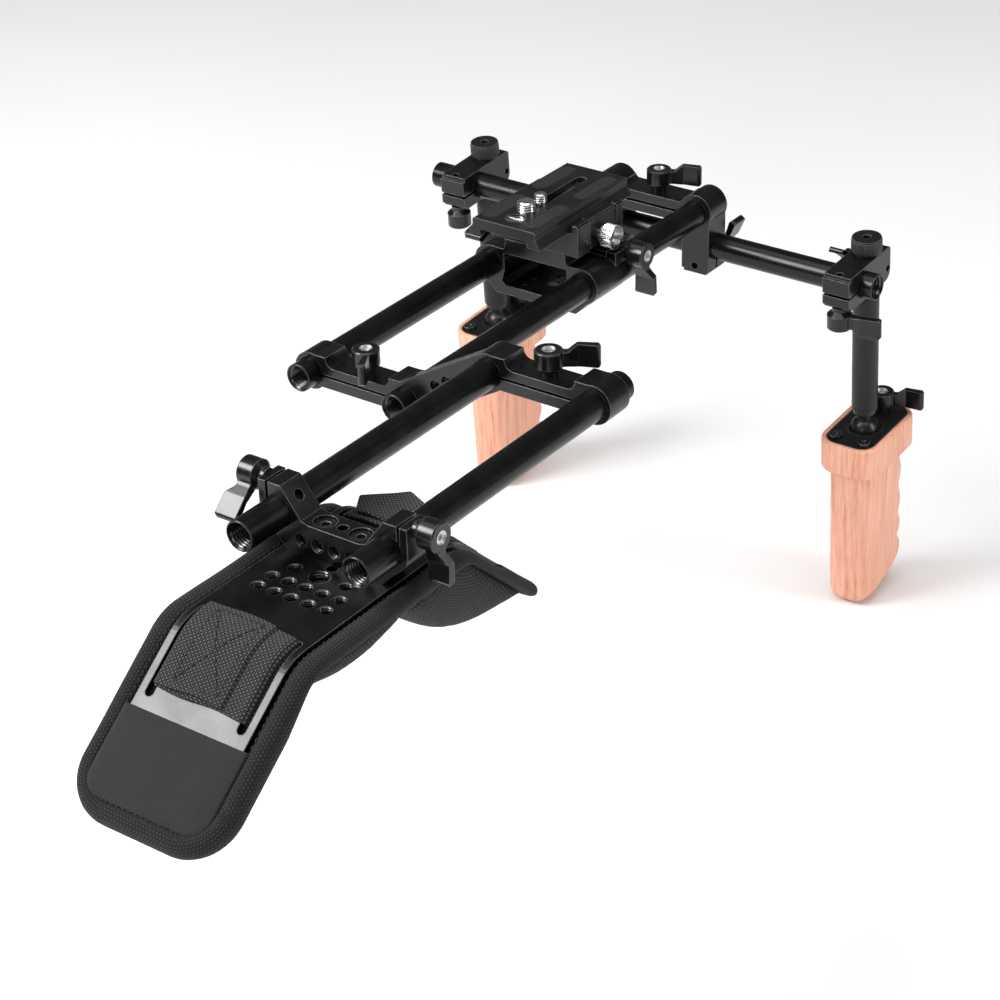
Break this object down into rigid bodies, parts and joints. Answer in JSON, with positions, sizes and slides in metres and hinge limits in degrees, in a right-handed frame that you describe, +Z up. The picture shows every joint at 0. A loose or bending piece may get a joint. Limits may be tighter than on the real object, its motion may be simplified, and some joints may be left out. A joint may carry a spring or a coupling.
{
  "type": "cinema camera rig",
  "caption": "Shoulder camera rig: split clamps on 15 mm rods join a padded shoulder plate, a quick-release camera plate and a cross rod with wooden hand grips.",
  "frame": {"origin": "where the pad rests on the shoulder, midway between the rear rods", "axes": "+Y forward along the rods, towards the grips; +X to the operator's right; +Z up"},
  "size_m": [0.3249, 0.6291, 0.2849],
  "materials": {
    "black_anodised": "black anodised, satin",
    "dark_anodised": "dark grey anodised, fine matte",
    "lever_metal": "black satin",
    "blackened_steel": "black oxide",
    "bright_steel": "machined",
    "rubber": "ribbed",
    "pad_fabric": "woven over foam",
    "webbing": "coarse webbing",
    "wood": "oiled, fine grain"
  },
  "bodies": {
    "shoulder": {"shoulder_plate": "black_anodised", "shoulder_clamp": "black_anodised", "shoulder_clamp_screws": "blackened_steel", "shoulder_pad": "pad_fabric", "pad_lobes": "pad_fabric", "rear_strap": "webbing", "front_strap": "webbing", "front_flap": "pad_fabric", "pad_pockets": "pad_fabric"},
    "rear_rods": {"rear_rod_left": "black_anodised", "rear_rod_right": "black_anodised"},
    "connector": {"offset_connector": "black_anodised"},
    "front_rods": {"front_rod_left": "black_anodised", "front_rod_right": "black_anodised"},
    "rail_mount": {"rail_block": "black_anodised", "qr_receiver": "black_anodised"},
    "qr_jaw": {"qr_jaw": "dark_anodised"},
    "qr_knob": {"qr_knob": "bright_steel"},
    "qr_plate": {"qr_plate": "dark_anodised", "qr_rubber_pads": "rubber", "slotted_screw": "bright_steel"},
    "screw_large": {"camera_screw_large": "bright_steel"},
    "screw_small": {"camera_screw_small": "bright_steel"},
    "front_clamp": {"front_clamp": "black_anodised"},
    "cross_rod": {"cross_rod": "black_anodised"},
    "handle_left": {"handle_clamp_left": "black_anodised"},
    "post_left": {"post_left": "dark_anodised", "ball_stud_left": "blackened_steel"},
    "post_stop_left": {"post_stop_left": "dark_anodised"},
    "ball_seat_left": {"ball_seat_left": "blackened_steel"},
    "ball_ring_left": {"ball_ring_left": "blackened_steel"},
    "grip_left": {"grip_left": "wood", "grip_plate_left": "dark_anodised", "grip_screws_left": "blackened_steel"},
    "handle_right": {"handle_clamp_right": "black_anodised"},
    "post_right": {"post_right": "dark_anodised", "ball_stud_right": "blackened_steel"},
    "post_stop_right": {"post_stop_right": "dark_anodised"},
    "ball_seat_right": {"ball_seat_right": "blackened_steel"},
    "ball_ring_right": {"ball_ring_right": "blackened_steel"},
    "grip_right": {"grip_right": "wood", "grip_plate_right": "dark_anodised", "grip_screws_right": "blackened_steel"},
    "lever_connector_front": {"lever_connector_front": "lever_metal"},
    "lever_connector_rear": {"lever_connector_rear": "lever_metal"},
    "lever_front_clamp": {"lever_front_clamp": "lever_metal"},
    "lever_cross_left": {"lever_cross_left": "lever_metal"},
    "lever_rail_left": {"lever_rail_left": "lever_metal"},
    "lever_shoulder_left": {"lever_shoulder_left": "lever_metal"},
    "lever_handle_left": {"lever_handle_left": "lever_metal"},
    "lever_post_left": {"lever_post_left": "lever_metal"},
    "lever_grip_left": {"lever_grip_left": "lever_metal"},
    "lever_cross_right": {"lever_cross_right": "lever_metal"},
    "lever_rail_right": {"lever_rail_right": "lever_metal"},
    "lever_shoulder_right": {"lever_shoulder_right": "lever_metal"},
    "lever_handle_right": {"lever_handle_right": "lever_metal"},
    "lever_post_right": {"lever_post_right": "lever_metal"},
    "lever_grip_right": {"lever_grip_right": "lever_metal"}
  },
  "joints": [
    {"name": "rear_rods_slide", "type": "slide", "parent": "shoulder", "child": "rear_rods", "axis": [0, 1, 0], "range_m": [-0.05, 0.02]},
    {"name": "connector_slide", "type": "slide", "parent": "rear_rods", "child": "connector", "axis": [0, 1, 0], "range_m": [-0.06, 0.004]},
    {"name": "front_rods_slide", "type": "slide", "parent": "connector", "child": "front_rods", "axis": [0, 1, 0], "range_m": [-0.06, 0.01]},
    {"name": "rail_mount_slide", "type": "slide", "parent": "front_rods", "child": "rail_mount", "axis": [0, 1, 0], "range_m": [-0.06, 0.025]},
    {"name": "qr_plate_slide", "type": "slide", "parent": "rail_mount", "child": "qr_plate", "axis": [0, 1, 0], "range_m": [-0.02, 0.02]},
    {"name": "qr_knob_turn", "type": "hinge", "parent": "rail_mount", "child": "qr_knob", "pos_m": [-0.1107, 0.3245, 0.0276], "axis": [1, 0, 0], "range_deg": [0, 180]},
    {"name": "qr_jaw_slide", "type": "slide", "parent": "rail_mount", "child": "qr_jaw", "axis": [1, 0, 0], "range_m": [0, 0.0006]},
    {"name": "screw_large_turn", "type": "hinge", "parent": "qr_plate", "child": "screw_large", "pos_m": [-0.1107, 0.2955, 0.04475], "axis": [0, 0, 1], "range_deg": [-180, 180]},
    {"name": "screw_small_slide", "type": "slide", "parent": "qr_plate", "child": "screw_small", "axis": [0, 1, 0], "range_m": [0, 0.036]},
    {"name": "front_clamp_slide", "type": "slide", "parent": "front_rods", "child": "front_clamp", "axis": [0, 1, 0], "range_m": [-0.025, 0.004]},
    {"name": "cross_rod_turn", "type": "hinge", "parent": "front_clamp", "child": "cross_rod", "pos_m": [-0.1107, 0.4255, -0.0157], "axis": [1, 0, 0], "range_deg": [-40, 60]},
    {"name": "handle_left_slide", "type": "slide", "parent": "cross_rod", "child": "handle_left", "axis": [1, 0, 0], "range_m": [-0.014, 0.02]},
    {"name": "post_left_slide", "type": "slide", "parent": "handle_left", "child": "post_left", "axis": [0, -0.0698, 0.9976], "range_m": [0, 0.035]},
    {"name": "post_stop_left_turn", "type": "hinge", "parent": "post_left", "child": "post_stop_left", "pos_m": [-0.246, 0.44246, -0.00449], "axis": [0, -0.0698, 0.9976], "range_deg": [0, 180]},
    {"name": "ball_left_turn", "type": "hinge", "parent": "post_left", "child": "ball_seat_left", "pos_m": [-0.246, 0.45048, -0.11921], "axis": [0, -0.0698, 0.9976], "range_deg": [-90, 90]},
    {"name": "ball_left_pitch", "type": "hinge", "parent": "ball_seat_left", "child": "ball_ring_left", "pos_m": [-0.246, 0.45048, -0.11921], "axis": [1, 0, 0], "range_deg": [-20, 20]},
    {"name": "ball_left_roll", "type": "hinge", "parent": "ball_ring_left", "child": "grip_left", "pos_m": [-0.246, 0.45048, -0.11921], "axis": [0, 0.9976, 0.0698], "range_deg": [-18, 18]},
    {"name": "handle_right_slide", "type": "slide", "parent": "cross_rod", "child": "handle_right", "axis": [1, 0, 0], "range_m": [-0.02, 0.008]},
    {"name": "post_right_slide", "type": "slide", "parent": "handle_right", "child": "post_right", "axis": [0, -0.0698, 0.9976], "range_m": [0, 0.035]},
    {"name": "post_stop_right_turn", "type": "hinge", "parent": "post_right", "child": "post_stop_right", "pos_m": [0.0146, 0.44246, -0.00449], "axis": [0, -0.0698, 0.9976], "range_deg": [0, 180]},
    {"name": "ball_right_turn", "type": "hinge", "parent": "post_right", "child": "ball_seat_right", "pos_m": [0.0146, 0.45048, -0.11921], "axis": [0, -0.0698, 0.9976], "range_deg": [-90, 90]},
    {"name": "ball_right_pitch", "type": "hinge", "parent": "ball_seat_right", "child": "ball_ring_right", "pos_m": [0.0146, 0.45048, -0.11921], "axis": [1, 0, 0], "range_deg": [-20, 20]},
    {"name": "ball_right_roll", "type": "hinge", "parent": "ball_ring_right", "child": "grip_right", "pos_m": [0.0146, 0.45048, -0.11921], "axis": [0, 0.9976, 0.0698], "range_deg": [-18, 18]},
    {"name": "lever_connector_front_turn", "type": "hinge", "parent": "connector", "child": "lever_connector_front", "pos_m": [-0.1107, 0.1565, 0.0101], "axis": [0, 0, 1], "range_deg": [-80, 20]},
    {"name": "lever_connector_rear_turn", "type": "hinge", "parent": "connector", "child": "lever_connector_rear", "pos_m": [0, 0.1565, 0.0395], "axis": [0, 0, 1], "range_deg": [0, 100]},
    {"name": "lever_front_clamp_turn", "type": "hinge", "parent": "front_clamp", "child": "lever_front_clamp", "pos_m": [-0.1107, 0.4255, 0.0102], "axis": [0, 0, 1], "range_deg": [0, 90]},
    {"name": "lever_cross_left_turn", "type": "hinge", "parent": "front_clamp", "child": "lever_cross_left", "pos_m": [-0.1407, 0.4344, -0.0267], "axis": [0, 1, 0], "range_deg": [-20, 20]},
    {"name": "lever_rail_left_turn", "type": "hinge", "parent": "rail_mount", "child": "lever_rail_left", "pos_m": [-0.1487, 0.3345, 0.0161], "axis": [-1, 0, 0], "range_deg": [-20, 20]},
    {"name": "lever_shoulder_left_turn", "type": "hinge", "parent": "shoulder", "child": "lever_shoulder_left", "pos_m": [-0.0405, 0.0014, 0.0453], "axis": [-1, 0, 0], "range_deg": [-15, 15]},
    {"name": "lever_handle_left_turn", "type": "hinge", "parent": "handle_left", "child": "lever_handle_left", "pos_m": [-0.246, 0.41373, -0.02655], "axis": [0, 0.0698, -0.9976], "range_deg": [-20, 20]},
    {"name": "lever_post_left_turn", "type": "hinge", "parent": "handle_left", "child": "lever_post_left", "pos_m": [-0.25425, 0.45284, -0.0168], "axis": [-1, 0, 0], "range_deg": [-15, 15]},
    {"name": "lever_grip_left_turn", "type": "hinge", "parent": "grip_left", "child": "lever_grip_left", "pos_m": [-0.246, 0.47136, -0.11675], "axis": [0, -0.0698, 0.9976], "range_deg": [-30, 30]},
    {"name": "lever_cross_right_turn", "type": "hinge", "parent": "front_clamp", "child": "lever_cross_right", "pos_m": [-0.0807, 0.4344, -0.0267], "axis": [0, 1, 0], "range_deg": [-20, 20]},
    {"name": "lever_rail_right_turn", "type": "hinge", "parent": "rail_mount", "child": "lever_rail_right", "pos_m": [-0.0727, 0.3345, 0.0161], "axis": [1, 0, 0], "range_deg": [-20, 20]},
    {"name": "lever_shoulder_right_turn", "type": "hinge", "parent": "shoulder", "child": "lever_shoulder_right", "pos_m": [0.0405, 0.0014, 0.0453], "axis": [1, 0, 0], "range_deg": [-15, 15]},
    {"name": "lever_handle_right_turn", "type": "hinge", "parent": "handle_right", "child": "lever_handle_right", "pos_m": [0.0146, 0.41373, -0.02655], "axis": [0, 0.0698, -0.9976], "range_deg": [-20, 20]},
    {"name": "lever_post_right_turn", "type": "hinge", "parent": "handle_right", "child": "lever_post_right", "pos_m": [0.00635, 0.45284, -0.0168], "axis": [-1, 0, 0], "range_deg": [-15, 15]},
    {"name": "lever_grip_right_turn", "type": "hinge", "parent": "grip_right", "child": "lever_grip_right", "pos_m": [0.0146, 0.47136, -0.11675], "axis": [0, -0.0698, 0.9976], "range_deg": [-30, 30]}
  ],
  "couplings": [
    {"joint": "qr_jaw_slide", "follows": "qr_knob_turn", "m_per_rad": 0.00015915}
  ]
}
